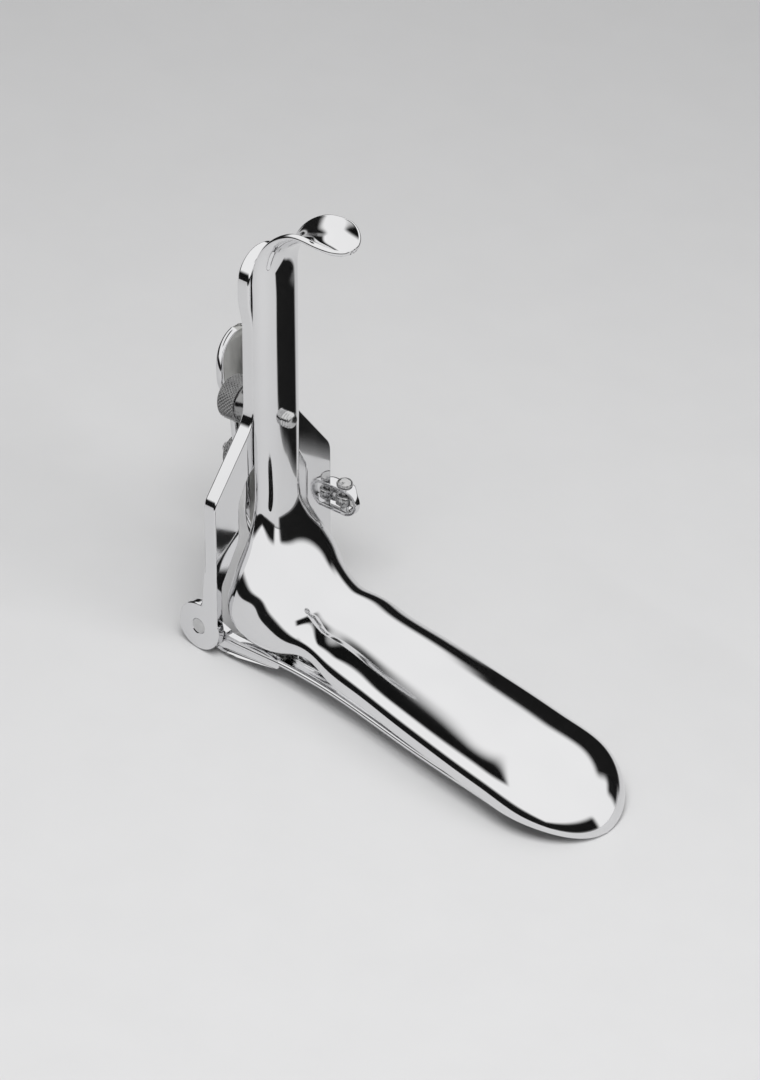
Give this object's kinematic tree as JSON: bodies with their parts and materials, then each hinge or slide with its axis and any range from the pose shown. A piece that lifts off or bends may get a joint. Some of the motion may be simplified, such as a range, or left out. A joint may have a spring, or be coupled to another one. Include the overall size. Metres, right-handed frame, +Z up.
{
  "type": "bivalve speculum",
  "caption": "Two-bladed surgical speculum with a channelled handle and finger hook, slotted sliding frame, clamp thumbscrew, hinged blade, thumb lever and adjusting rod with nut.",
  "frame": {"origin": "middle of the box's foot, on the surface that the speculum rests on", "axes": "+X from the handle towards the blades' tips, +Y towards the adjusting rod, +Z up, away from the surface it rests on"},
  "size_m": [0.137, 0.0482, 0.1096],
  "materials": {
    "mirror_sheet": "mirror polished",
    "mirror_frame": "polished, softer than the blades",
    "satin_lever": "satin face, polished edge",
    "turned_steel": "fine turned",
    "knurled_steel": "diamond knurled"
  },
  "bodies": {
    "lower_blade": {"anterior_blade": "mirror_sheet", "thumb_lever": "satin_lever"},
    "frame": {"yoke_frame": "mirror_frame", "hinge_screw_near": "turned_steel", "hinge_screw_far": "turned_steel", "rod_bracket": "mirror_frame", "swivel_pin": "turned_steel"},
    "handle": {"posterior_blade": "mirror_sheet", "clamp_block": "turned_steel", "clamp_washer": "turned_steel"},
    "clamp_screw": {"clamp_knob": "knurled_steel", "clamp_shank": "turned_steel"},
    "rod": {"adjusting_rod": "turned_steel"},
    "nut": {"adjusting_nut": "knurled_steel"}
  },
  "joints": [
    {"name": "blade_opening", "type": "hinge", "parent": "lower_blade", "child": "frame", "pos_m": [-0.03718, -0.00443, 0.006], "axis": [0, -1, 0], "range_deg": [0, 25]},
    {"name": "handle_slide", "type": "slide", "parent": "frame", "child": "handle", "axis": [-0.1418, 0, 0.9899], "range_m": [0, 0.024]},
    {"name": "clamp_turn", "type": "hinge", "parent": "handle", "child": "clamp_screw", "pos_m": [-0.04355, -0.00443, 0.05469], "axis": [0.9899, 0, 0.1418], "range_deg": [0, 360]},
    {"name": "rod_swivel", "type": "hinge", "parent": "frame", "child": "rod", "pos_m": [-0.03187, 0.01707, 0.02535], "axis": [0.1418, 0, -0.9899], "range_deg": [0, 80]},
    {"name": "nut_travel", "type": "slide", "parent": "rod", "child": "nut", "axis": [0.9899, 0, 0.1418], "range_m": [0, 0.01004]}
  ],
  "couplings": [
    {"joint": "nut_travel", "follows": "blade_opening", "m_per_rad": 0.0229}
  ]
}
